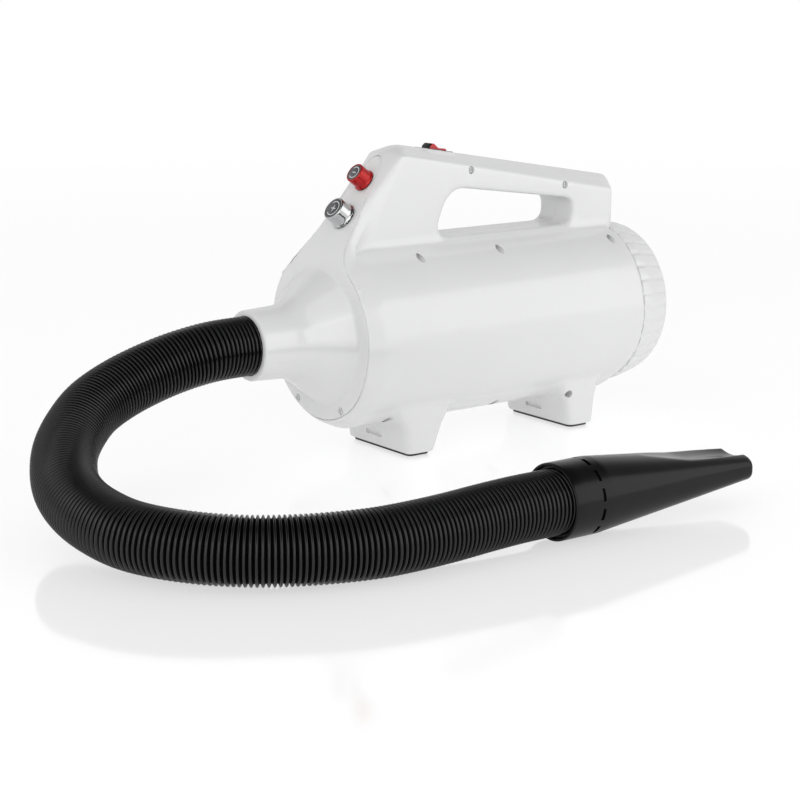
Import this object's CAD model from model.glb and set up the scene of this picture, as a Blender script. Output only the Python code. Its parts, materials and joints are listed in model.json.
import json
from math import acos, atan, atan2, copysign, cos, degrees, hypot, pi, radians, sin, sqrt, tan
import bpy
import bmesh
from mathutils import Matrix, Vector

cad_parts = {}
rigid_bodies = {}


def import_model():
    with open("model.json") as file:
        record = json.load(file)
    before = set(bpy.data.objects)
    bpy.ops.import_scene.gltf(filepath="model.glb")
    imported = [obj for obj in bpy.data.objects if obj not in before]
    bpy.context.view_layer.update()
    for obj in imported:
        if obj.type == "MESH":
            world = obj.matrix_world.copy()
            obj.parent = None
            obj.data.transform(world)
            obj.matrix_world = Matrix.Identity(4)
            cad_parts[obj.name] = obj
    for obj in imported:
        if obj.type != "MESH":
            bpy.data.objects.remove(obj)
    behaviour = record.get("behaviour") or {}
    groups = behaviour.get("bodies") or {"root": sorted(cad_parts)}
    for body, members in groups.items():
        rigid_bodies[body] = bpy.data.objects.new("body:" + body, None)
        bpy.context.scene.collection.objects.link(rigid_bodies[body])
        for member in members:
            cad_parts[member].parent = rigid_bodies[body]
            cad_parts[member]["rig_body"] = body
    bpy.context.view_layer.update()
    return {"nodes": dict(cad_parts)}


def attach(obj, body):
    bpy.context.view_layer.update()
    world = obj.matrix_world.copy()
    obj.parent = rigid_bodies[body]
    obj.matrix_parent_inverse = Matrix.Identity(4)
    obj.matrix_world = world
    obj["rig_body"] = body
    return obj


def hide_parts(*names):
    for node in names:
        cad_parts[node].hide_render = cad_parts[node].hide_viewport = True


# Pet dryer: a white two-part housing with a front cover, a ribbed black hose and a flat nozzle.
# Lengths of the shapes are in millimetres and are scaled by mm; cord, camera and studio are given in metres.
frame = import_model()
nodes = frame["nodes"]
mm = 0.001


# small modelling helpers

def selectNone():
    bpy.ops.object.select_all(action="DESELECT")


def only(*objs):
    if bpy.context.object and bpy.context.object.mode != "OBJECT":
        bpy.ops.object.mode_set(mode="OBJECT")
    selectNone()
    for obj in objs:
        obj.select_set(True)
    bpy.context.view_layer.objects.active = objs[0]


def startEdit(obj, kind="VERT"):
    only(obj)
    bpy.ops.object.mode_set(mode="EDIT")
    bpy.ops.mesh.select_mode(type=kind)
    bpy.ops.mesh.select_all(action="SELECT")


def endEdit(obj, mergeAt=1e-6):
    bpy.ops.mesh.select_all(action="SELECT")
    if mergeAt:
        bpy.ops.mesh.remove_doubles(threshold=mergeAt)
    bpy.ops.mesh.normals_make_consistent(inside=False)
    bpy.ops.object.mode_set(mode="OBJECT")


def named(obj, name):
    obj.name = name
    obj.data.name = name
    return obj


def useModifier(obj, kind, **values):
    only(obj)
    mod = obj.modifiers.new(kind.title(), kind)
    for key, value in values.items():
        setattr(mod, key, value)
    bpy.ops.object.modifier_apply(modifier=mod.name)


def revoxel(obj, size):
    useModifier(obj, "REMESH", mode="VOXEL", voxel_size=size * mm, use_smooth_shade=True)


def relax(obj, steps, group=""):
    useModifier(obj, "SMOOTH", factor=0.5, iterations=steps, vertex_group=group)


def carve(obj, *tools, how="DIFFERENCE"):
    for tool in tools:
        useModifier(obj, "BOOLEAN", object=tool, operation=how, solver="MANIFOLD")
        bpy.data.objects.remove(tool)
    return obj


def joined(name, *objs):
    only(*objs)
    bpy.ops.object.join()
    return named(objs[0], name)


def copied(obj, name):
    only(obj)
    bpy.ops.object.duplicate()
    return named(bpy.context.object, name)


def placed(obj, matrix):
    obj.matrix_world = matrix
    only(obj)
    bpy.ops.object.transform_apply(location=True, rotation=True, scale=True)
    return obj


# a frame at a place in millimetres, turned about one axis
def turnedAt(place, angle, axis):
    return Matrix.Translation(Vector(place) * mm) @ Matrix.Rotation(angle, 4, axis)


def ringStart(points, fill):
    selectNone()
    bpy.ops.mesh.primitive_circle_add(vertices=len(points), radius=0.01, fill_type=fill)
    obj = bpy.context.object
    for vert, p in zip(obj.data.vertices, points):
        vert.co = Vector(p) * mm
    return obj


# an outline pulled straight out along one direction
def prism(name, outline, pull):
    obj = ringStart(outline, "NGON")
    startEdit(obj, "FACE")
    bpy.ops.mesh.extrude_region_move(TRANSFORM_OT_translate={"value": tuple(Vector(pull) * mm)})
    endEdit(obj)
    return named(obj, name)


# rings of equal count, each extruded from the one before; ends are filled, or bridged to each other
def loft(name, rings, ends="filled"):
    stepsPerMm = 200  # how finely an extruded vertex is matched to its point in the last ring
    obj = ringStart(rings[0], "NOTHING")
    startEdit(obj)
    for last, ring in zip(rings, rings[1:]):
        bpy.ops.mesh.extrude_region_move()
        bm = bmesh.from_edit_mesh(obj.data)
        where = {tuple(round(c * stepsPerMm) for c in p): i for i, p in enumerate(last)}
        for vert in bm.verts:
            if not vert.select:
                continue
            found = where.get(tuple(round(c / mm * stepsPerMm) for c in vert.co))
            if found is None:
                gaps = [(Vector(p) * mm - vert.co).length_squared for p in last]
                found = gaps.index(min(gaps))
            vert.co = Vector(ring[found]) * mm
        bmesh.update_edit_mesh(obj.data)
    bpy.ops.mesh.select_all(action="DESELECT")
    bpy.ops.mesh.select_non_manifold(extend=False)
    if ends == "filled":
        bpy.ops.mesh.fill_holes(sides=0)
    else:
        bpy.ops.mesh.bridge_edge_loops()
    endEdit(obj)
    return named(obj, name)


# a profile of height and radius spun about local Z, then placed in a frame
def spun(name, profile, steps, turn=360, frameAt=None):
    selectNone()
    bpy.ops.mesh.primitive_circle_add(vertices=3, radius=0.001)
    obj = bpy.context.object
    startEdit(obj)
    bpy.ops.mesh.merge(type="CENTER")
    bm = bmesh.from_edit_mesh(obj.data)
    bm.verts.ensure_lookup_table()
    bm.verts[0].co = Vector((profile[0][1], 0, profile[0][0])) * mm
    bm.verts[0].select = True
    bmesh.update_edit_mesh(obj.data)
    for a, b in zip(profile, profile[1:]):
        bpy.ops.mesh.extrude_region_move(
            TRANSFORM_OT_translate={"value": ((b[1] - a[1]) * mm, 0, (b[0] - a[0]) * mm)})
    bpy.ops.mesh.select_all(action="SELECT")
    bpy.ops.mesh.spin(steps=steps, angle=radians(turn), center=(0, 0, 0), axis=(0, 0, 1))
    endEdit(obj, mergeAt=2e-6)
    if turn < 360:
        startEdit(obj)
        bpy.ops.mesh.select_all(action="DESELECT")
        bpy.ops.mesh.select_non_manifold(extend=False)
        bpy.ops.mesh.edge_face_add()
        endEdit(obj)
    if frameAt:
        placed(obj, frameAt)
    return named(obj, name)


def block(name, size, centre, frameAt=None):
    selectNone()
    bpy.ops.mesh.primitive_cube_add(size=1, location=(0, 0, 0))
    obj = bpy.context.object
    placed(obj, (frameAt or Matrix()) @ Matrix.LocRotScale(Vector(centre) * mm, None, Vector(size) * mm))
    return named(obj, name)


# a round bar from a to b
def rod(name, a, b, radius, sides):
    a, b = Vector(a) * mm, Vector(b) * mm
    selectNone()
    bpy.ops.mesh.primitive_cylinder_add(vertices=sides, radius=radius * mm, depth=(b - a).length)
    obj = bpy.context.object
    placed(obj, Matrix.LocRotScale((a + b) / 2, (b - a).to_track_quat("Z", "Y"), None))
    return named(obj, name)


def smoothed(obj, angle=None):
    only(obj)
    if angle is None:
        bpy.ops.object.shade_smooth()
    else:
        bpy.ops.object.shade_smooth_by_angle(angle=radians(angle))
    return obj


# a merged copy of a CAD node, with its sharp edges rounded
def softened(nodeName, name, width, segments):
    merge, flat, sharp, smooth = 2e-6, 1, 38, 35  # a distance in metres and three angles in degrees
    obj = copied(nodes[nodeName], name)
    for key in [k for k in obj.keys() if k.startswith("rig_")]:
        del obj[key]
    obj.parent = None
    obj.matrix_world = Matrix()
    startEdit(obj)
    bpy.ops.mesh.remove_doubles(threshold=merge)
    bpy.ops.mesh.dissolve_limited(angle_limit=radians(flat))
    bpy.ops.object.mode_set(mode="OBJECT")
    useModifier(obj, "BEVEL", width=width * mm, segments=segments, limit_method="ANGLE",
                angle_limit=radians(sharp), use_clamp_overlap=True)
    return smoothed(obj, smooth)


def arcPoints(centre, radius, start, stop, count):
    turns = [radians(start + (stop - start) * i / count) for i in range(count + 1)]
    return [(centre[0] + radius * cos(t), centre[1] + radius * sin(t)) for t in turns]


# a closed outline of [x, y, radius] corners with each corner rounded
def roundedOutline(corners, count):
    out = []
    for i, (bx, by, radius) in enumerate(corners):
        a = Vector(corners[i - 1][:2])
        b = Vector((bx, by))
        c = Vector(corners[(i + 1) % len(corners)][:2])
        u, v = (a - b).normalized(), (c - b).normalized()
        half = acos(max(-1, min(1, u.dot(v)))) / 2
        centre = b + (u + v).normalized() * radius / sin(half)
        p = b + u * radius / tan(half) - centre
        q = b + v * radius / tan(half) - centre
        first = degrees(atan2(p.y, p.x))
        turn = degrees(atan2(p.x * q.y - p.y * q.x, p.dot(q)))
        out += arcPoints(centre, radius, first, first + turn, count)
    return out


# materials

# a shader socket that can be added to and multiplied in Python
class Signal:
    def __init__(self, finish, socket):
        self.finish = finish
        self.socket = socket

    def maths(self, operation, other):
        return self.finish.add("Math", {"operation": operation}, {0: self, 1: other})

    def __add__(self, other):
        return self.maths("ADD", other)

    def __mul__(self, other):
        return self.maths("MULTIPLY", other)


# a material built from nodes that read the piece's own coordinates
class Finish:
    def __init__(self, name, **constants):
        self.material = bpy.data.materials.new(name)
        self.material.use_nodes = True
        self.tree = self.material.node_tree
        self.tree.nodes.clear()
        self.out = self.tree.nodes.new("ShaderNodeOutputMaterial")
        self.shader = self.tree.nodes.new("ShaderNodeBsdfPrincipled")
        self.tree.links.new(self.shader.outputs[0], self.out.inputs[0])
        for key, value in constants.items():
            self.shader.inputs[key.replace("_", " ")].default_value = value
        self.place = self.add("TexCoord", {}, {}, "Object")

    def add(self, kind, settings, inputs, output=0):
        made = self.tree.nodes.new("ShaderNode" + kind)
        for key, value in settings.items():
            setattr(made, key, value)
        for key, value in inputs.items():
            if isinstance(value, Signal):
                self.tree.links.new(value.socket, made.inputs[key])
            else:
                made.inputs[key].default_value = value
        return Signal(self, made.outputs[output])

    def noise(self, scale, detail, stretch):
        place = self.place
        if stretch:
            place = self.add("Mapping", {}, {"Vector": place, "Scale": stretch})
        return self.add("TexNoise", {},
                        {"Vector": place, "Scale": scale, "Detail": detail, "Roughness": 0.55})

    def spread(self, signal, low, high, fromLow=0.3, fromHigh=0.7):
        return self.add("MapRange", {}, {0: signal, 1: fromLow, 2: fromHigh, 3: low, 4: high})

    def blend(self, mask, one, two):
        return self.add("Mix", {"data_type": "RGBA"}, {0: mask, 6: one, 7: two}, 2)

    def wire(self, **links):
        for key, signal in links.items():
            self.tree.links.new(signal.socket, self.shader.inputs[key.replace("_", " ")])

    def bump(self, height, distance):
        inputs = {"Height": height, "Distance": distance * mm, "Strength": 1.0}
        self.wire(Normal=self.add("Bump", {}, inputs))


# a colour from one grey, or from red, green and blue
def rgb(colour):
    return (*colour, 1.0) if isinstance(colour, tuple) else (colour, colour, colour, 1.0)


# what tells one material from another: low and high colour, range of roughness, scales of patches and grain,
# depth of the grain, and then gloss, metal and stretch where they are not 0.5, 0 and none
finishBook = dict(
    shellWhite=((0.785, 0.786, 0.788), (0.80, 0.801, 0.803), (0.13, 0.17), 14, 900, 0.003, 0.85),
    coverWhite=((0.79, 0.791, 0.793), (0.805, 0.806, 0.808), (0.09, 0.13), 17, 950, 0.002, 0.95),
    hoseBlack=(0.003, 0.005, (0.14, 0.20), 60, 1400, 0.006, 0.48),
    mattBlack=(0.0006, 0.0012, (0.6, 0.7), 60, 1400, 0.01, 0.04),
    nozzleBlack=(0.003, 0.0055, (0.17, 0.22), 35, 1800, 0.008, 0.25),
    switchBlack=(0.004, 0.008, (0.30, 0.38), 90, 1500, 0.02, 0.35),
    rockerRed=((0.50, 0.015, 0.02), (0.60, 0.03, 0.03), (0.15, 0.24), 120, 900, 0.008),
    padRubber=(0.012, 0.025, (0.62, 0.78), 60, 1100, 0.08),
    knobRed=((0.42, 0.008, 0.010), (0.52, 0.016, 0.016), (0.16, 0.24), 90, 1500, 0.006, 0.5, 0.35),
    knobChrome=((0.58, 0.585, 0.59), (0.66, 0.665, 0.67), (0.07, 0.12), 80, 1200, 0.004, 0.5, 1.0),
    discGrey=((0.10, 0.10, 0.11), (0.16, 0.16, 0.17), (0.30, 0.42), 200, 2600, 0.012, 0.5, 0.6),
    markWhite=(0.74, 0.80, (0.4, 0.5), 200, 2000, 0.01),
    filterFoam=((0.022, 0.022, 0.024), (0.07, 0.07, 0.075), (0.85, 0.97), 420, 620, 0.9),
    quietFoam=((0.035, 0.035, 0.04), (0.09, 0.09, 0.095), (0.88, 0.98), 300, 500, 0.9),
    screwGrey=((0.66, 0.665, 0.67), (0.74, 0.745, 0.75), (0.35, 0.45), 90, 1200, 0.01),
    steelPlain=((0.45, 0.46, 0.48), (0.60, 0.61, 0.62), (0.22, 0.38), 60, 1200, 0.01, 0.5, 1.0, (1, 6, 6)),
    steelDark=((0.20, 0.21, 0.23), (0.32, 0.33, 0.35), (0.30, 0.48), 70, 900, 0.02, 0.5, 1.0),
    copperWire=((0.52, 0.20, 0.09), (0.72, 0.33, 0.17), (0.22, 0.36), 130, 800, 0.05, 0.5, 1.0, (9, 1, 1)),
    brassPlain=((0.58, 0.42, 0.16), (0.72, 0.56, 0.26), (0.22, 0.36), 90, 1100, 0.01, 0.5, 1.0),
    aluminium=((0.66, 0.67, 0.68), (0.78, 0.79, 0.80), (0.24, 0.40), 90, 900, 0.015, 0.5, 1.0),
    coreSteel=((0.12, 0.12, 0.13), (0.24, 0.24, 0.26), (0.42, 0.58), 40, 1600, 0.05, 0.5, 0.8, (16, 1, 1)),
    micaPlate=((0.46, 0.39, 0.27), (0.62, 0.55, 0.41), (0.38, 0.56), 180, 700, 0.03, 0.5, 0.0, (1, 3, 3)),
    boardGreen=((0.01, 0.10, 0.035), (0.02, 0.15, 0.05), (0.28, 0.40), 240, 1500, 0.03),
    partBlue=((0.02, 0.05, 0.18), (0.04, 0.09, 0.26), (0.30, 0.45), 140, 900, 0.02),
    leadGrey=((0.05, 0.05, 0.055), (0.09, 0.09, 0.10), (0.45, 0.6), 90, 900, 0.02),
    carbonBlock=(0.02, 0.05, (0.5, 0.7), 400, 1600, 0.05),
    glandRubber=(0.012, 0.022, (0.5, 0.66), 90, 1300, 0.05))
finishes = {}


def makeFinish(name, low, high, rough, patch, grain, depth, gloss=0.5, metal=0.0, stretch=None):
    made = Finish(name, Metallic=metal, IOR=1.48, Specular_IOR_Level=gloss)
    patches = made.noise(patch, 4.0, stretch)
    grains = made.noise(grain, 2.0, stretch)
    colour = made.blend(made.spread(patches, 0.0, 1.0), rgb(low), rgb(high))
    made.wire(Base_Color=colour, Roughness=made.spread(patches + grains * 0.5, *rough, 0.55, 0.95))
    made.bump(grains, depth)
    return made.material


def dress(obj, *names):
    obj.data.materials.clear()
    for name in names:
        if name not in finishes:
            finishes[name] = makeFinish(name, *finishBook[name])
        obj.data.materials.append(finishes[name])


def settle(obj, body, slot, *finishNames, replace=()):
    dress(obj, *finishNames)
    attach(obj, body)
    if replace:
        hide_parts(*replace)


# camera

view = dict(place=(-1.0607, -1.3665, 0.4233), ahead=(0.5803, 0.7842, -0.2200), right=(0.8039, -0.5948, 0.0),
            lens=88.79)
ahead = Vector(view["ahead"]).normalized()
right = Vector(view["right"]).normalized()
up = right.cross(ahead)
cameraData = bpy.data.cameras.new("studioCamera")
cameraData.lens = view["lens"]
cameraData.sensor_width = 36
cameraData.clip_start = 0.05
camera = bpy.data.objects.new("studioCamera", cameraData)
camera.matrix_world = Matrix.Translation(view["place"]) @ Matrix((right, up, -ahead)).transposed().to_4x4()
bpy.context.scene.collection.objects.link(camera)
bpy.context.scene.camera = camera
print("camera placed")

# hose, cuff and nozzle

hoseShape = dict(
    route=[(-184, 0, 107), (-214, 0, 107), (-244, 0, 106), (-274, 2, 101), (-304, 1, 94), (-333, -4, 86),
           (-360, -14, 77), (-383, -31, 67), (-403, -53, 58), (-418, -78, 50), (-429, -105, 43),
           (-434, -134, 37), (-434, -164, 33), (-429, -194, 30), (-416, -221, 28), (-397, -245, 26.5),
           (-374, -265, 25.5), (-348, -281, 25.2), (-320, -293, 25.2), (-291, -301, 25.4), (-261, -304, 26),
           (-231, -305, 27), (-201, -305, 28.5), (-171, -305, 29.5), (-140, -305, 29.5), (-110, -305, 29.5)],
    ribsPerStep=8, sides=44, lastRing=23.6, bore=21, borePerStep=3, pathPerStep=4,
    # radius across one rib: a narrow deep gap, then a round crest
    rib=[(0.0, 22.2), (0.14, 22.9), (0.22, 24.1), (0.33, 24.75), (0.5, 25.05), (0.67, 24.75), (0.78, 24.1),
         (0.86, 22.9)],
    # the smooth sleeve that ends the hose runs on a little inside the nozzle
    sleeveLength=18, sleeveOut=20.9, sleeveIn=20.2)


# a smooth curve through the points of the route, or its slope
def onRoute(t, slope=False):
    p = [Vector(q) for q in hoseShape["route"]]
    i = min(int(t), len(p) - 2)
    f = t - i
    a = p[i - 1] if i else 2 * p[0] - p[1]
    b, c = p[i], p[i + 1]
    d = p[i + 2] if i + 2 < len(p) else 2 * p[-1] - p[-2]
    first, second, third = c - a, 2 * a - 5 * b + 4 * c - d, 3 * b - a - 3 * c + d
    if slope:
        return 0.5 * (first + 2 * second * f + 3 * third * f * f)
    return 0.5 * (2 * b + first * f + second * f * f + third * f ** 3)


# points of a circle round the route
def ringRound(t, radius):
    p, d = onRoute(t), onRoute(t, True).normalized()
    side = Vector((0, 0, 1)).cross(d).normalized()
    rise = d.cross(side)
    turns = [2 * pi * j / sides for j in range(sides)]
    return [p + radius * (cos(a) * side + sin(a) * rise) for a in turns]


sides = hoseShape["sides"]
hoseSteps = len(hoseShape["route"]) - 1
hoseRings = []
for k in range(hoseSteps * hoseShape["ribsPerStep"]):
    for f, radius in hoseShape["rib"]:
        hoseRings.append(ringRound((k + f) / hoseShape["ribsPerStep"], radius))
ribRings = len(hoseRings)
hoseRings.append(ringRound(hoseSteps, hoseShape["lastRing"]))
sleeveEnd, sleeveOut, sleeveIn = hoseShape["sleeveLength"], hoseShape["sleeveOut"], hoseShape["sleeveIn"]
for onward, radius in ((0, sleeveOut), (sleeveEnd, sleeveOut), (sleeveEnd, sleeveIn), (0, sleeveIn)):
    hoseRings.append([p + Vector((onward, 0, 0)) for p in ringRound(hoseSteps, radius)])
for k in range(hoseSteps * hoseShape["borePerStep"] - 1, -1, -1):
    hoseRings.append(ringRound(k / hoseShape["borePerStep"], hoseShape["bore"]))
hoseFaces = []
for i in range(len(hoseRings)):
    here, onto = i * sides, (i + 1) % len(hoseRings) * sides
    for j in range(sides):
        k = (j + 1) % sides
        hoseFaces.append((here + j, here + k, onto + k, onto + j))
hoseMesh = bpy.data.meshes.new("ribbedHose")
hoseMesh.from_pydata([tuple(v * mm) for ring in hoseRings for v in ring], [], hoseFaces)
hose = bpy.data.objects.new("ribbedHose", hoseMesh)
bpy.context.scene.collection.objects.link(hose)
startEdit(hose)
endEdit(hose, mergeAt=0)
smoothed(hose)
settle(hose, "body", "hose_plastic", "hoseBlack", "mattBlack", replace=["hose"])
# the steep sides and the floor of every gap are matt
ringsPerRib = len(hoseShape["rib"])
for face in hose.data.polygons:
    ring = face.index // sides
    face.material_index = 1 if ring < ribRings and ring % ringsPerRib in (0, ringsPerRib - 1) else 0
perStep = hoseShape["pathPerStep"]
hosePath = [onRoute(i / perStep) * mm for i in range(hoseSteps * perStep + 1)]
hosePath.append(hosePath[-1] + Vector((sleeveEnd * mm, 0, 0)))
hoseLength = sum((b - a).length for a, b in zip(hosePath, hosePath[1:]))
print("hose made,", round(hoseLength, 3), "m along its middle,", len(hoseFaces), "faces")

nozzleShape = dict(
    start=-137, y=-305, z=29.5, length=190, collar=36, radius=29.5, wall=2, sides=96, steps=40,
    tipHalfW=22, tipHalfH=11, tipSquare=0.3,
    # the hollow that is pressed into the top of the flat tip
    scoopFrom=86, scoopHalf=16.5, scoopDepth=3.4, scoopOpen=2.4, scoopSink=2.2, scoopNarrow=0.28,
    # rounded rear edge of the collar, and its bore with the groove that snaps over the cuff
    edge=[(0, 28.6), (0.25, 29.05), (0.8, 29.4), (1.6, 29.5), (12, 29.5), (24, 29.5)],
    groove=[(33, 27.4), (29.4, 27.4), (28.8, 28.3), (25.7, 28.3), (25.4, 27.4), (1, 27.4), (0.2, 27.7),
            (0, 28.1)],
    windows=12, window=(3.2, 9.6, 6), windowAt=27.3, windowOut=28.8, windowRound=0.5)


# a section of the nozzle: round at the collar, flat and squarer at the tip
def nozzleRing(t, inset=0.0, radius=None):
    s = nozzleShape
    f = max(0.0, (t - s["collar"]) / (s["length"] - s["collar"]))
    e = 0.5 * f + 0.5 * (f * f * (3 - 2 * f))
    w = (s["radius"] + (s["tipHalfW"] - s["radius"]) * e if radius is None else radius) - inset
    h = (s["radius"] + (s["tipHalfH"] - s["radius"]) * f if radius is None else radius) - inset
    p = 1 - s["tipSquare"] * e if radius is None else 1
    ring = []
    for j in range(s["sides"]):
        a = 2 * pi * j / s["sides"]
        c, q = cos(a), sin(a)
        y = w * copysign(abs(c) ** p, c)
        z = h * copysign(abs(q) ** p, q)
        if q > 0 and t > s["scoopFrom"]:
            along = (t - s["scoopFrom"]) / (s["length"] - s["scoopFrom"])
            wide = min(1.0, sqrt(along * s["scoopOpen"]))
            half = s["scoopHalf"] * wide * (1 - s["scoopNarrow"] * along ** 3)
            deep = s["scoopDepth"] * min(1.0, along * s["scoopSink"])
            z -= deep * max(0.0, 1 - (y / half) ** 2)
        ring.append((s["start"] + t, s["y"] + y, s["z"] + z))
    return ring


def nozzleRings():
    s = nozzleShape
    length, collar = s["length"], s["collar"]
    body = [collar + (length - collar) * i / s["steps"] for i in range(s["steps"])]
    rings = [nozzleRing(t, 0, r) for t, r in s["edge"] + [(collar - 1, s["radius"])]]
    rings += [nozzleRing(t) for t in body]
    # round the lip of the tip and go back along the inside
    rings += [nozzleRing(length - 1.0), nozzleRing(length - 0.3, 0.25), nozzleRing(length, 0.8),
              nozzleRing(length, 1.4), nozzleRing(length - 0.4, 1.85)]
    rings += [nozzleRing(t, s["wall"]) for t in reversed(body)]
    return rings + [nozzleRing(t, 0, r) for t, r in s["groove"]]


nozzle = loft("flatNozzle", nozzleRings(), ends="bridged")
windowAt = Vector((nozzleShape["start"] + nozzleShape["windowAt"], nozzleShape["y"], nozzleShape["z"]))
for i in range(nozzleShape["windows"]):
    turn = turnedAt(windowAt, radians((i + 0.5) * 360 / nozzleShape["windows"]), "X")
    window = block("window", nozzleShape["window"], (0, 0, nozzleShape["windowOut"]), turn)
    useModifier(window, "BEVEL", width=nozzleShape["windowRound"] * mm, segments=2)
    carve(nozzle, window)
smoothed(nozzle, 32)
settle(nozzle, "nozzle", "black_plastic", "nozzleBlack", replace=["nozzle"])
cuff = softened("hose_cuff", "hoseCuff", 0.3, 2)
settle(cuff, "body", "black_plastic", "switchBlack", replace=["hose_cuff"])
print("nozzle and cuff made")

# the outer form of the housing

machine = dict(axis=107, radius=77, flangeX=-136, splitX=171, endX=208, mouthX=-208, voxel=1.7,
               shoulder=18, shoulderDrop=3.8, shoulderCurve=1.2, shoulderSteps=12, lip=0.6,
               bellyRadius=60, bellyHeight=84.4, bellyShoulder=20, bellyDrop=9,
               rim=72, rimGrow=1.7, rimDepth=10, coverThick=3, coverGap=0.25)
flangeX, axisZ, split = machine["flangeX"], machine["axis"], machine["splitX"]
stripShape = dict(bend=40, bendHeight=160, lean=37, top=92, taper=15, half=46.1, neck=60, tip=10)
lean = radians(stripShape["lean"])
stripUp = Vector((sin(lean), cos(lean)))
stripIn = Vector((cos(lean), -sin(lean)))
stripCentre = Vector((flangeX + stripShape["bend"], stripShape["bendHeight"]))
stripFoot = stripCentre - stripShape["bend"] * stripIn
taper = radians(stripShape["taper"])
handleShape = dict(frontX=83, frontZ=265, rearX=314, rearZ=227, half=24, crown=5, crownDrop=5.7, crownMid=13,
                   sideFront=8.8, sideRear=13.5, band=20, join=4,
                   # corners of the hand opening with their radii
                   grip=[(116, 184.5, 4), (110, 193.5, 9), (124, 227.5, 22), (264.5, 208, 7),
                         (264.5, 184.5, 10)])
ridgeDrop = handleShape["frontZ"] - handleShape["rearZ"]
ridgeFall = atan(ridgeDrop / (handleShape["rearX"] - handleShape["frontX"]))
switchShape = dict(x=123, pad=(31.5, 23.5, 8), padZ=-3.9, bezel=(27.4, 19.4, 12), bezelZ=3.6,
                   body=(23.4, 15.4, 30), bodyZ=-5)
knobShape = dict(
    speed=dict(s=29, radius=11.8, finish="knobChrome", slot="chrome", body="speed_control"),
    heat=dict(s=65, radius=10, finish="knobRed", slot="red_plastic", body="heat_control"))


# local Z runs along the machine, from a point above the table
def axisFrame(height=axisZ):
    alongX = Matrix(((0, 0, 1, 0), (0, 1, 0, 0), (-1, 0, 0, 0), (0, 0, 0, 1)))
    return Matrix.Translation(Vector((0, 0, height)) * mm) @ alongX


# the front of the machine seen from the side, d behind its face
def frontLine(d):
    line = [(flangeX + d, axisZ - machine["rim"] - 6)]
    line += arcPoints(stripCentre, stripShape["bend"] - d, 180, 180 - stripShape["lean"], 16)
    end = stripFoot + stripShape["top"] * stripUp + d * stripIn
    return line + [(end.x, end.y)]


def coverCorner():
    reach = stripShape["half"] + stripShape["neck"]
    tall = sqrt((machine["rim"] + stripShape["neck"]) ** 2 - reach ** 2)
    along, across = Vector((cos(taper), sin(taper))), Vector((-sin(taper), cos(taper)))
    return along * reach + across * tall


# the cover seen from the front: a disc that runs up into a tapering strip, grown by g
def coverOutline(g):
    c = coverCorner()
    a = degrees(atan2(c.y, c.x))
    tip = (0, (stripShape["half"] - stripShape["tip"]) / sin(taper))
    half = arcPoints((0, 0), machine["rim"] + g, -90, a, 48)
    half += arcPoints(c, stripShape["neck"] - g, 180 + a, 180 + stripShape["taper"], 14)[1:]
    half += arcPoints(tip, stripShape["tip"] + g, stripShape["taper"], 90, 10)
    return half + [(-y, z) for y, z in reversed(half[1:-1])]


# the part of that outline between two depths behind the front of the machine
def coverSlab(name, grow, nearD, farD):
    before, behind, half = 5, 110, 90
    outline = [(flangeX - before, y, axisZ + z) for y, z in coverOutline(grow)]
    face = prism(name, outline, (before + behind, 0, 0))
    band = frontLine(nearD) + list(reversed(frontLine(farD)))
    side = prism("band", [(x, -half, z) for x, z in band], (0, 2 * half, 0))
    return carve(face, side, how="INTERSECT")


def ridgeZ(x):
    return handleShape["frontZ"] - (x - handleShape["frontX"]) * tan(ridgeFall)


# height of the edge between the handle's side and its sloping top
def sideZ(x):
    h = handleShape
    drop = (h["sideRear"] - h["sideFront"]) * (x - h["frontX"]) / (h["rearX"] - h["frontX"])
    return ridgeZ(x) - h["sideFront"] - drop


def stripHalfAt(z):
    c, h = coverCorner(), z - axisZ
    if h > c.y - stripShape["neck"] * sin(taper):
        return (stripShape["half"] - h * sin(taper)) / cos(taper)
    return c.x - sqrt(stripShape["neck"] ** 2 - (h - c.y) ** 2)


def stripX(z):
    if z > stripFoot.y:
        return (z - stripFoot.y) * tan(lean) + stripFoot.x - flangeX
    return stripShape["bend"] - sqrt(stripShape["bend"] ** 2 - max(z - stripShape["bendHeight"], 0) ** 2)


joinHalf = handleShape["half"] - handleShape["join"]
stripLow = axisZ + (stripShape["half"] - joinHalf * cos(taper)) / sin(taper)
stripHigh = axisZ + (stripShape["half"] - stripShape["tip"]) / sin(taper)


# corners of the handle, each as x behind the flange, half width and height
def handleCorners():
    h = handleShape
    w, fx, rx, fz = h["half"], h["frontX"], h["rearX"], h["frontZ"]
    bandLow, bandHigh = stripX(stripLow) + h["band"], stripX(stripHigh) + h["band"]
    corners = [(stripX(z) + 0.6, stripHalfAt(z) + 1.2, z) for z in (stripLow, stripHigh)]
    # up the strip to the front of the ridge
    corners += [(stripX(stripHigh) + 8, 4, stripHigh + stripShape["tip"] - 0.2),
                (fx - 14.5, h["crown"], fz - 4.4), (fx - 5, h["crown"], fz - 0.9),
                (fx + 3, h["crown"], ridgeZ(fx + 3)), (fx - 3, h["crownMid"], fz - h["crownDrop"])]
    # round the flat side
    corners += [(bandHigh - 3, w, sideZ(bandHigh)), (bandLow, w, stripLow), (34, w, axisZ + 45),
                (rx + 10, 4, axisZ + 60), (rx + 5, w - 9, axisZ + 60), (rx - 3, w, axisZ + 60)]
    # up the rear end to the ridge
    corners += [(rx - 3, w, sideZ(rx)), (rx + 4, w - 9, sideZ(rx)), (rx + 9, 4, ridgeZ(rx) - 12),
                (rx + 7, h["crown"], ridgeZ(rx) - 5), (rx + 3, h["crown"], ridgeZ(rx) - 1.8),
                (rx - 5, h["crownMid"], ridgeZ(rx - 8) - h["crownDrop"])]
    return [(flangeX + x, s * y, z) for x, y, z in corners for s in (-1, 1)]


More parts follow.
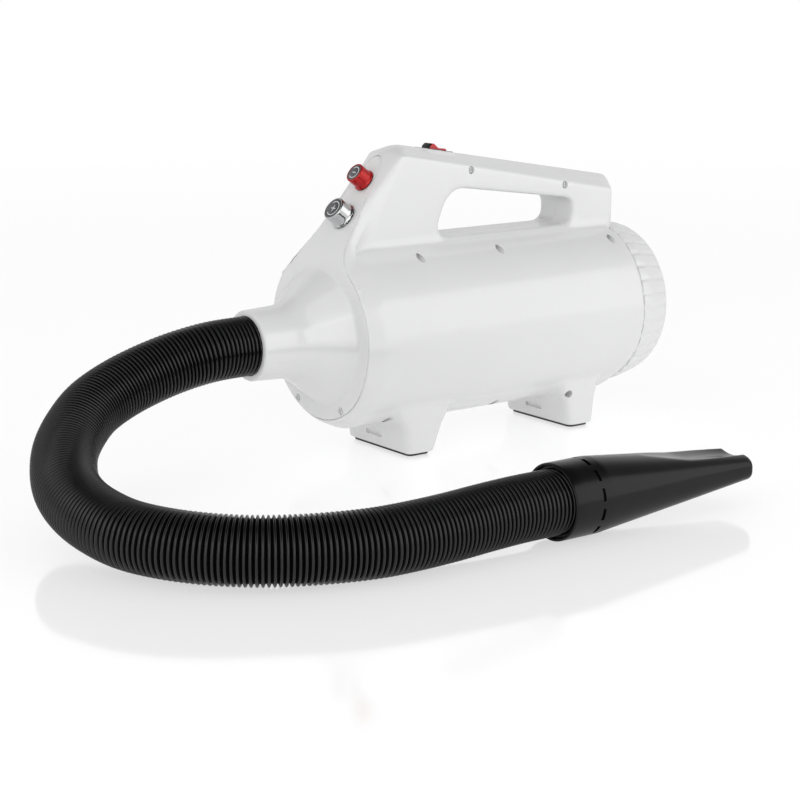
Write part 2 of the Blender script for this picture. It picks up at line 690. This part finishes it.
def handleHull(name):
    obj = ringStart(handleCorners(), "NOTHING")
    startEdit(obj)
    bpy.ops.mesh.delete(type="EDGE_FACE")
    bpy.ops.mesh.select_all(action="SELECT")
    bpy.ops.mesh.convex_hull()
    endEdit(obj)
    return named(obj, name)


# the body below the handle widens towards the cover: x and width of its front edge, then of its rear edge
flareShape = dict(low=48, step=8, frontIn=0.8, frontWide=1.1, rearX=30.4, rearFrom=185, rearLeast=-20,
                  rearSlope=0.565, narrower=0.5)


def neckFlare(name):
    s = flareShape
    rings = []
    z = axisZ + s["low"]
    while z <= stripLow + 1:
        x, y = stripX(z) + s["frontIn"], stripHalfAt(z) + s["frontWide"]
        rearX = s["rearX"] + max(z - s["rearFrom"], s["rearLeast"]) * s["rearSlope"]
        rearY = min(handleShape["half"], y) - s["narrower"]
        rings.append([(flangeX + x, -y, z), (flangeX + rearX, -rearY, z), (flangeX + rearX, rearY, z),
                      (flangeX + x, y, z)])
        z += s["step"]
    return loft(name, rings)


footShape = dict(front=62, rear=246, length=29, width=92, round=6,
                 # height, then how far the foot spreads to the front, to the rear and to each side
                 frontRings=[(2, 0, 0, 0), (27, 3, 9, 1), (40, 12, 17, 2), (60, 20, 26, 2)],
                 rearRings=[(2, 0, 0, 0), (27, 4, 2, 1), (40, 12, 5, 2), (60, 18, 7, 2)],
                 # the slot moulded into the front face, as spans along, across and up
                 slot=((-6, 0.6), (-7.5, 15.5), (11.4, 15.4)), slotRound=0.9,
                 padInX=2.85, padInY=3.85, padRound=5, padTop=4)


# a rectangle from x0 to x1 and as wide as twice y, with corners of radius r, at a height
def roundedBox(x0, x1, y, r, z):
    corners = [(x0, -y, r), (x1, -y, r), (x1, y, r), (x0, y, r)]
    return [(px, py, z) for px, py in roundedOutline(corners, 6)]


def foot(name, x, rings):
    s = footShape
    front, rear, half = flangeX + x, flangeX + x + s["length"], s["width"] / 2
    return loft(name, [roundedBox(front - ahead, rear + behind, half + wide, s["round"], z)
                       for z, ahead, behind, wide in rings])


# a closed turned form whose front shoulder curves in by drop
def barrelForm(name, radius, height, drop, shoulder, end):
    lip, steps = machine["lip"], machine["shoulderSteps"]
    profile = [(flangeX + lip, 0)]
    for i in range(steps + 1):
        f = i / steps
        low = drop * (1 - f) ** machine["shoulderCurve"]
        profile.append((flangeX + lip + (shoulder - lip) * f, radius - low))
    return spun(name, profile + end, 128, frameAt=axisFrame(height))


def ridgeFrame(x):
    return turnedAt((flangeX + x, 0, ridgeZ(x)), ridgeFall, "Y")


def stripFrame(s):
    p, side = stripFoot + s * stripUp, -3
    return turnedAt((p.x, side, p.y), lean - pi / 2, "Y")


def boxBetween(name, *spans):
    return block(name, [b - a for a, b in spans], [(a + b) / 2 for a, b in spans])


bellyRadius = machine["bellyRadius"]
outerForm = [
    barrelForm("barrel", machine["radius"], axisZ, machine["shoulderDrop"], machine["shoulder"],
               [(split, machine["radius"]), (split, 0)]),
    barrelForm("belly", bellyRadius, machine["bellyHeight"], machine["bellyDrop"], machine["bellyShoulder"],
               [(split - 8, bellyRadius), (split, bellyRadius - 3), (split, 0)])]
gripOutline = roundedOutline(handleShape["grip"], 12)
gripPrism = prism("grip", [(flangeX + x, -40, z) for x, z in gripOutline], (0, 80, 0))
outerForm += [
    carve(handleHull("handle"), gripPrism),
    neckFlare("neck"),
    foot("frontFoot", footShape["front"], footShape["frontRings"]),
    foot("rearFoot", footShape["rear"], footShape["rearRings"]),
    coverSlab("rimSlab", machine["rimGrow"], machine["lip"], machine["rimDepth"]),
    block("switchPad", switchShape["pad"], (0, 0, switchShape["padZ"]), ridgeFrame(switchShape["x"]))]
body = joined("housingForm", *outerForm)
revoxel(body, machine["voxel"])
print("housing form:", len(body.data.polygons), "faces")


# a vertex group weighted by a rule of the vertex's place, for the smoothing that makes the fillets
def weigh(obj, name, rule):
    least = 0.01
    group = obj.vertex_groups.new(name=name)
    for vert in obj.data.vertices:
        p = vert.co / mm
        weight = rule(p.x, p.y, p.z)
        if weight > least:
            group.add([vert.index], min(1.0, weight), "REPLACE")


def near(distance, reach):
    return max(0.0, 1 - abs(distance) / reach)


gripLine = [Vector((flangeX + x, z)) for x, z in gripOutline]
gripFront, gripRear = min(p.x for p in gripLine), max(p.x for p in gripLine)


def gripDistance(x, z):
    spot = Vector((x, z))
    gaps = []
    for a, b in zip(gripLine, gripLine[1:] + gripLine[:1]):
        along = b - a
        f = min(1.0, max(0.0, (spot - a).dot(along) / max(along.length_squared, 1e-9)))
        gaps.append((spot - a - f * along).length)
    return min(gaps)


# how much of the fillet smoothing a point takes: most where two forms meet
filletShape = dict(handle=13, grip=9, gripZone=14, foot=12, footFrom=48, footEnd=11, belly=10, side=9,
                   # front and rear face of each foot where it meets the belly
                   footFaces=(56, 104, 240, 280))


def junctions(x, y, z):
    s = filletShape
    offBarrel = hypot(y, z - axisZ) - machine["radius"]
    offBelly = hypot(y, z - machine["bellyHeight"]) - bellyRadius
    offSide = abs(y) - handleShape["half"]
    offBoth = min(abs(offBarrel), abs(offBelly))
    best = 0.0
    if axisZ + 40 < z < 190 and x > flangeX + 20:  # handle on the barrel
        best = near(offBarrel, s["handle"]) * near(offSide, s["handle"]) * 1.6
    if z > 188 and gripFront - s["gripZone"] < x < gripRear + s["gripZone"]:
        best = max(best, near(offSide, s["grip"]) * near(gripDistance(x, z), s["grip"]) * 1.7)
    if z < 75:  # feet and belly under the barrel
        best = max(best, near(abs(y) - s["footFrom"], s["foot"]) * near(offBoth, s["foot"]) * 1.5)
        under = max(near(x - flangeX - face, s["footEnd"]) for face in s["footFaces"])
        best = max(best, under * near(offBoth, s["belly"]) * 1.5)
        best = max(best, near(offBarrel, s["side"]) * near(offBelly, s["side"]) * 1.4)
    return best


weigh(body, "fillets", junctions)
weigh(body, "evened", lambda x, y, z: min(1.0, max(0.25, (x - flangeX - 3) / 7)))
relax(body, 5, "evened")
relax(body, 34, "fillets")

# cuts in the housing: the cover's recess, the screw wells, the feet's slots and what other pieces sit in
screwShape = dict(well=3.4, boss=5.8, bossFloor=4, outside=90,
                  # each as x behind the flange, height and depth of its seat from the middle plane
                  at=[(146, 241, 19.5), (254, 221, 19.5), (78, 172, 31), (165, 172, 31), (294, 170.5, 33.5),
                      (50, 33, 19.5), (171, 31.5, 15), (243.6, 33, 25)])
roomShape = dict(frontBore=52, rearBore=70, barrel=73.8, belly=56.5, seam=0.12, potBore=8.4,
                 glandX=244, glandTurn=-35, glandBore=7.05)


def crossRod(name, x, z, depth, radius):
    return rod(name, (flangeX + x, -screwShape["outside"], z), (flangeX + x, depth, z), radius, 40)


recess = coverSlab("recess", machine["coverGap"], -6, machine["coverThick"])
frontBore = rod("frontBore", (flangeX - 2, 0, axisZ), (flangeX + 30, 0, axisZ), roomShape["frontBore"], 96)
rearBore = rod("rearBore", (split - 30, 0, axisZ), (split + 5, 0, axisZ), roomShape["rearBore"], 96)
carve(body, recess, frontBore, rearBore)
for x, z, seat in screwShape["at"]:
    carve(body, crossRod("well", x, z, -seat, screwShape["well"]))
switchFrame = ridgeFrame(switchShape["x"])
carve(body, block("bezelSeat", switchShape["bezel"], (0, 0, switchShape["bezelZ"]), switchFrame),
      block("switchSeat", switchShape["body"], (0, 0, switchShape["bodyZ"]), switchFrame))
for x in (footShape["front"], footShape["rear"]):
    s, front = footShape, flangeX + x
    (slotFrom, slotTo), slotY, slotZ = s["slot"]
    slotCut = boxBetween("slot", (front + slotFrom, front + slotTo), slotY, slotZ)
    useModifier(slotCut, "BEVEL", width=s["slotRound"] * mm, segments=3)
    carve(body, slotCut)
    inX, inY = s["padInX"], s["padInY"]
    seat = roundedBox(front + inX, front + s["length"] - inX, s["width"] / 2 - inY, s["padRound"], -1)
    carve(body, prism("padSeat", seat, (0, 0, 1 + s["padTop"])))
for k in knobShape.values():
    carve(body, placed(rod("potSeat", (0, 0, -14), (0, 0, 2), roomShape["potBore"], 48), stripFrame(k["s"])))
glandFrame = turnedAt((flangeX + roomShape["glandX"], 0, axisZ), radians(roomShape["glandTurn"]), "X")
carve(body, placed(rod("glandSeat", (0, 50, 0), (0, 100, 0), roomShape["glandBore"], 48), glandFrame))

# the room inside: barrel and belly drawn in by the wall, with the screws' bosses left standing
bellyHeight = machine["bellyHeight"]
cores = [rod("core", (flangeX + 12, 0, axisZ), (split - 6, 0, axisZ), roomShape["barrel"], 128),
         rod("core", (flangeX + 20, 0, bellyHeight), (split - 4, 0, bellyHeight), roomShape["belly"], 96)]
for core in cores:
    for x, z, seat in screwShape["at"]:
        carve(core, crossRod("boss", x, z, screwShape["bossFloor"] - seat, screwShape["boss"]))
    carve(body, core)
seam = roomShape["seam"]
leftBox = boxBetween("leftSide", (-300, 400), (-200, -seam), (-50, 400))
rightBox = boxBetween("rightSide", (-300, 400), (seam, 200), (-50, 400))
rightHalf = copied(body, "shellRight")
leftHalf = named(body, "shellLeft")
carve(leftHalf, leftBox, how="INTERSECT")
carve(rightHalf, rightBox, how="INTERSECT")
# each half takes half of the spigot that the rear cap turns on
spigot = [(split - 2, 70), (split + 14, 70), (split + 14, 72.9), (split - 2, 72.9), (split - 2, 70)]
for half, start in ((leftHalf, 180), (rightHalf, 0)):
    spigotTurn = Matrix.Rotation(radians(start + 0.5), 4, "Z")
    joined(half.name, half, spun("spigot", spigot, 48, 179, frameAt=axisFrame() @ spigotTurn))
    smoothed(half, 34)
settle(leftHalf, "body", "white_plastic", "shellWhite", replace=["housing_left"])
settle(rightHalf, "body", "white_plastic", "shellWhite", replace=["housing_right"])
print("housing halves:", len(leftHalf.data.polygons), len(rightHalf.data.polygons), "faces")

# front cover with its cone and spout

mouthX = machine["mouthX"]
coverShape = dict(
    voxel=1.15,
    # the spout, the curve that flares out of it, and the foot of the cone, as x behind the mouth and radius
    spout=[(0, 0), (0, 29.1), (0.6, 29.6), (1.4, 29.76), (13, 30.3), (26, 30.9)],
    flareCentre=(26, 63.7), flareRadius=32.8, flareTo=305, coneFoot=59, coneEnd=[(72, 59), (75, 59), (75, 0)],
    room=[(-2, 0), (-2, 25.3), (24, 25.3), (24, 22), (30, 23), (44, 32.7), (72, 55), (80, 55.8), (80, 0)],
    bush=3.7, screwTurn=28.5, screwOut=67.7, screwHead=3.3, screwShank=1.95)
flare = arcPoints(coverShape["flareCentre"], coverShape["flareRadius"], 270, coverShape["flareTo"], 12)
coverOut = coverShape["spout"] + flare[1:] + coverShape["coneEnd"]
cover = joined("frontCoverForm", coverSlab("coverPlate", 0, 0, machine["coverThick"]),
               spun("cone", [(mouthX + x, r) for x, r in coverOut], 128, frameAt=axisFrame()))
revoxel(cover, coverShape["voxel"])


# where the top of the cone runs into the plate
def coverCrease(x, y, z):
    offCone = hypot(y, z - axisZ) - coverShape["coneFoot"]
    return near(offCone, 11) * near(x - flangeX, 11) * near(z - axisZ - 60, 26) * 2.2


weigh(cover, "fillets", coverCrease)
relax(cover, 3)
relax(cover, 45, "fillets")
carve(cover, spun("coneRoom", [(mouthX + x, r) for x, r in coverShape["room"]], 96, frameAt=axisFrame()))
for k in knobShape.values():
    carve(cover, placed(rod("bushHole", (0, 0, -6), (0, 0, 3), coverShape["bush"], 32), stripFrame(k["s"])))
out = coverShape["screwOut"]
for side in (-1, 1):
    turn = turnedAt((flangeX, 0, axisZ), radians(side * coverShape["screwTurn"]), "X")
    carve(cover, placed(rod("sink", (-3, 0, -out), (1.7, 0, -out), coverShape["screwHead"], 40), turn),
          placed(rod("shankHole", (-3, 0, -out), (6, 0, -out), coverShape["screwShank"], 24), turn))
named(cover, "frontCover")
smoothed(cover, 34)
settle(cover, "body", "white_plastic", "coverWhite", replace=["front_cover"])
print("front cover:", len(cover.data.polygons), "faces")

# rear cap

end = machine["endX"]
capShape = dict(
    ribs=36, ribShare=0.93, voxel=1.0,
    out=[(split + 0.4, 0), (split + 0.4, 76.7), (split + 9, 75.8), (split + 18, 73.8), (end - 7, 71),
         (end - 3.5, 69.2), (end - 1, 67.4), (end, 65.5), (end, 0)],
    # x behind the split, then the radius at the foot and at the crest of every rib
    teeth=[(-0.5, 75.1, 79), (9, 74.4, 78), (14.2, 74.1, 77.5), (16.5, 72.9, 77), (30, 69.3, 74),
           (34.5, 67.4, 72), (38, 66.2, 70)],
    room=[(split - 1, 0), (split - 1, 73.2), (split + 14.2, 73.2), (split + 17.5, 66.3), (end - 3, 66.3),
          (end - 3, 0)],
    # count, then the radii between which the slots of one ring run
    slots=[(24, 22, 60), (8, 7, 18)], slotWide=3.6, slotDeep=9, slotRound=1.4,
    filter=[(end - 15, 0), (end - 15, 64), (end - 14.2, 65.6), (end - 12.5, 66), (end - 5, 66),
            (end - 3.6, 65.4), (end - 3.05, 64), (end - 3.05, 0)])
teeth = []
ribTurn = 360 / capShape["ribs"]
for x, low, high in capShape["teeth"]:
    ring = []
    for i in range(capShape["ribs"]):
        a, b = radians(ribTurn * i), radians(ribTurn * (i + capShape["ribShare"]))
        ring += [(split + x, high * cos(a), axisZ + high * sin(a)),
                 (split + x, low * cos(b), axisZ + low * sin(b))]
    teeth.append(ring)
cap = carve(spun("capForm", capShape["out"], 180, frameAt=axisFrame()), loft("teeth", teeth), how="INTERSECT")
revoxel(cap, capShape["voxel"])
relax(cap, 3)
carve(cap, spun("capRoom", capShape["room"], 128, frameAt=axisFrame()))
for slots, low, high in capShape["slots"]:
    for i in range(slots):
        turn = axisFrame() @ Matrix.Rotation(radians(i * 360 / slots), 4, "Z")
        size = (high - low, capShape["slotWide"], capShape["slotDeep"])
        slotCut = block("slot", size, ((high + low) / 2, 0, end - 1.5), turn)
        useModifier(slotCut, "BEVEL", width=capShape["slotRound"] * mm, segments=3)
        carve(cap, slotCut)
named(cap, "rearCap")
smoothed(cap, 34)
settle(cap, "cap", "white_plastic", "shellWhite", replace=["rear_cap"])
filterPad = spun("filterPad", capShape["filter"], 96, frameAt=axisFrame())
smoothed(filterPad, 50)
settle(filterPad, nodes["filter_foam"]["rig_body"], "foam", "filterFoam", replace=["filter_foam"])
print("rear cap:", len(cap.data.polygons), "faces")

# knobs with their discs and marks

drumShape = dict(face=13.4, taper=1.2, bandTop=1.35, markTop=13.96, markHalf=0.35, barWide=0.8,
                 ringShare=0.72)
for name, k in knobShape.items():
    r, top, faceZ = k["radius"], k["radius"] - drumShape["taper"], drumShape["face"]
    at = stripFrame(k["s"])
    # the bore, the hollow underneath, the skirt, the drum and the raised edge round its face
    profile = [(11.2, 0), (11.2, 3.02), (4.2, 3.02), (4.2, r - 3.4), (0.7, r - 3.4), (0.5, r - 3.1),
               (0.5, r - 0.35), (0.6, r - 0.1), (0.8, r), (1.9, r), (2.2, r - 0.12), (2.8, r - 0.6),
               (3.6, r - 0.95), (4.6, r - 1.13), (5.6, top), (12.6, top), (13.3, top - 0.06),
               (13.75, top - 0.3), (14, top - 0.8), (14, top - 1.2), (13.9, top - 1.4), (faceZ, top - 1.4),
               (faceZ, 0)]
    knob = spun(name + "Knob", profile, 120, frameAt=at)
    smoothed(knob, 40)
    settle(knob, k["body"], k["slot"], k["finish"], "switchBlack", replace=[name + "_knob"])
    # a black band round the foot of the drum
    upright = at.inverted()
    for face in knob.data.polygons:
        face.material_index = 1 if (upright @ face.center).z < drumShape["bandTop"] * mm else 0
    inlay = [(faceZ, 0), (faceZ, top - 1.5), (13.8, top - 1.5), (13.9, top - 1.7), (13.9, 0)]
    disc = spun(name + "Disc", inlay, 72, frameAt=at)
    smoothed(disc, 40)
    settle(disc, k["body"], "grey_plastic", "discGrey", replace=[name + "_inlay"])
    # the mark: a broken ring round a minus or a plus
    ringR = (top - 1.6) * drumShape["ringShare"]
    inner, outer, markTop = ringR - drumShape["markHalf"], ringR + drumShape["markHalf"], drumShape["markTop"]
    edge = [(13.85, inner), (markTop, inner), (markTop, outer), (13.85, outer), (13.85, inner)]
    band = spun(name + "Ring", edge, 60, 270, frameAt=at @ Matrix.Rotation(radians(45), 4, "Z"))
    bars = [band, block("bar", (drumShape["barWide"], ringR * 0.9, 0.11), (0, 0, 13.905), at)]
    if name == "speed":
        bars.append(block("bar", (ringR * 0.9, drumShape["barWide"], 0.10), (0, 0, 13.9), at))
    mark = joined(name + "Mark", *bars)
    settle(mark, k["body"], "white_plastic", "markWhite")
print("knobs made")

# rocker switch, gland, pads

rocker = softened("switch_rocker", "rocker", 0.5, 3)
settle(rocker, "rocker", "red_plastic", "rockerRed", "switchBlack", replace=["switch_rocker"])
# the end of the rocker that faces the knobs is black
for face in rocker.data.polygons:
    face.material_index = 1 if face.normal.x < -0.5 else 0
bezel = softened("switch_body", "switchBezel", 0.5, 3)
settle(bezel, "body", "black_plastic", "switchBlack", replace=["switch_body"])
gland = softened("cord_gland", "cordGland", 0.3, 2)
settle(gland, "body", "rubber", "glandRubber", replace=["cord_gland"])
pads = softened("foot_pads", "footPads", 0.6, 3)
settle(pads, "body", "rubber", "padRubber", replace=["foot_pads"])
quiet = softened("sound_foam", "quietFoam", 1.0, 3)
settle(quiet, "body", "foam", "quietFoam", replace=["sound_foam"])
print("switch, gland and pads made")

# finishes of the CAD nodes that stay

insideFinish = dict(
    screwGrey=["housing_screws", "cover_screws"],
    shellWhite=["filter_ring", "intake_guard"],
    brassPlain=["switch_terminals", "brush_holders"],
    steelPlain=["speed_pot", "heat_pot", "speed_shaft", "heat_shaft", "pot_nuts", "impeller_nut",
                "motor_shaft", "front_bearing", "rear_bearing", "heater_shield", "heater_coil"],
    steelDark=["fan_can", "fan_base", "return_guide", "motor_frame", "motor_bracket"],
    aluminium=["heat_sink", "impeller_front", "impeller_rear"],
    coreSteel=["field_core", "armature_core"],
    copperWire=["field_coils", "armature_winding", "commutator"],
    padRubber=["front_can_ring", "rear_can_ring", "front_mount"],
    boardGreen=["control_board"], partBlue=["board_parts"], leadGrey=["leads"], carbonBlock=["brushes"],
    micaPlate=["heater_former"], switchBlack=["thermal_cutout"])
for finishName, nodeNames in insideFinish.items():
    for nodeName in nodeNames:
        dress(nodes[nodeName], finishName)
print("inside dressed:", sum(len(names) for names in insideFinish.values()), "nodes")

# floor, world and lamps

studio = dict(floorSize=90.0, floorTone=0.88, floorRough=0.6, floorBounce=0.23, floorGlow=0.5,
              floorBright=1.26, mirror=0.21, mirrorRough=0.09, fade=(0.9, 2.6),
              horizon=0.92, zenith=0.50, softEdge=(0.05, 0.75),
              glossLow=0.75, glossHigh=0.04, glossEdge=(0.50, 0.76),
              aim=(-0.05, -0.08, 0.1),
              key=dict(place=(-1.5, -2.4, 0.9), size=2.0, power=13),
              top=dict(place=(-1.7, -0.5, 1.6), size=1.8, power=7),
              side=dict(place=(1.5, -2.2, 0.85), size=2.2, power=13))
selectNone()
bpy.ops.mesh.primitive_plane_add(size=studio["floorSize"], location=(0, 0, -0.0004))
floor = named(bpy.context.object, "studioFloor")
ground = Finish("floorPale", Base_Color=rgb(studio["floorTone"]), Roughness=studio["floorRough"],
                Emission_Color=rgb(1.0), Emission_Strength=studio["floorBounce"])
# the camera sees the floor brighter than it is lit, with a faint mirror image, and plain white far away
rays = ground.add("LightPath", {}, {}, "Is Camera Ray")
glow = ground.add("Emission", {}, {"Color": rgb(1.0), "Strength": studio["floorBright"]})
plain = ground.add("Emission", {}, {"Color": rgb(1.0), "Strength": 1.0})
away = ground.add("VectorMath", {"operation": "LENGTH"}, {0: ground.place}, "Value")
faded = ground.spread(away, 0.0, 1.0, *studio["fade"])
gloss = ground.add("BsdfGlossy", {}, {"Color": rgb(1.0), "Roughness": studio["mirrorRough"]})
base = Signal(ground, ground.shader.outputs[0])
lit = ground.add("MixShader", {}, {0: rays * studio["floorGlow"], 1: base, 2: glow})
wet = ground.add("MixShader", {}, {0: rays * studio["mirror"], 1: lit, 2: gloss})
both = ground.add("MixShader", {}, {0: rays * faded, 1: wet, 2: plain})
ground.tree.links.new(both.socket, ground.out.inputs[0])
floor.data.materials.append(ground.material)

world = bpy.data.worlds.new("studioWorld")
bpy.context.scene.world = world
world.use_nodes = True
worldTree = world.node_tree
worldTree.nodes.clear()
skyLink = worldTree.links.new


def skyNode(kind):
    return worldTree.nodes.new("ShaderNode" + kind)


worldOut, seen, direction, heading = map(skyNode, ("OutputWorld", "LightPath", "TexCoord", "SeparateXYZ"))
skyLink(direction.outputs["Generated"], heading.inputs[0])


def sky(strength):
    light = skyNode("Background")
    light.inputs[0].default_value = rgb(1.0)
    light.inputs[1].default_value = strength
    return light.outputs[0]


def mixed(factor, first, second):
    made = skyNode("MixShader")
    for socket, given in zip(made.inputs, (factor, first, second)):
        skyLink(given, socket)
    return made.outputs[0]


# 0 below one height of the sky and 1 above the other
def heightMask(low, high):
    rise = skyNode("MapRange")
    rise.inputs[1].default_value = low
    rise.inputs[2].default_value = high
    skyLink(heading.outputs[2], rise.inputs[0])
    return rise.outputs[0]


# the camera sees plain white; light from the sky is soft, and glossy surfaces mirror a dark upper sky
straight = skyNode("Math")
straight.operation = "MAXIMUM"
skyLink(seen.outputs["Is Camera Ray"], straight.inputs[0])
skyLink(seen.outputs["Is Transmission Ray"], straight.inputs[1])
softSky = mixed(heightMask(*studio["softEdge"]), sky(studio["horizon"]), sky(studio["zenith"]))
sharpSky = mixed(heightMask(*studio["glossEdge"]), sky(studio["glossLow"]), sky(studio["glossHigh"]))
anySky = mixed(seen.outputs["Is Glossy Ray"], softSky, sharpSky)
skyLink(mixed(straight.outputs[0], anySky, sky(1.0)), worldOut.inputs[0])

for name in ("key", "top", "side"):
    lamp = studio[name]
    lampData = bpy.data.lights.new(name + "Lamp", "AREA")
    lampData.shape = "SQUARE"
    lampData.size = lamp["size"]
    lampData.energy = lamp["power"]
    lampObject = bpy.data.objects.new(name + "Lamp", lampData)
    facing = (Vector(studio["aim"]) - Vector(lamp["place"])).to_track_quat("-Z", "Y")
    lampObject.matrix_world = Matrix.Translation(lamp["place"]) @ facing.to_matrix().to_4x4()
    bpy.context.scene.collection.objects.link(lampObject)
bpy.context.scene.view_settings.view_transform = "Standard"

print("studio set")
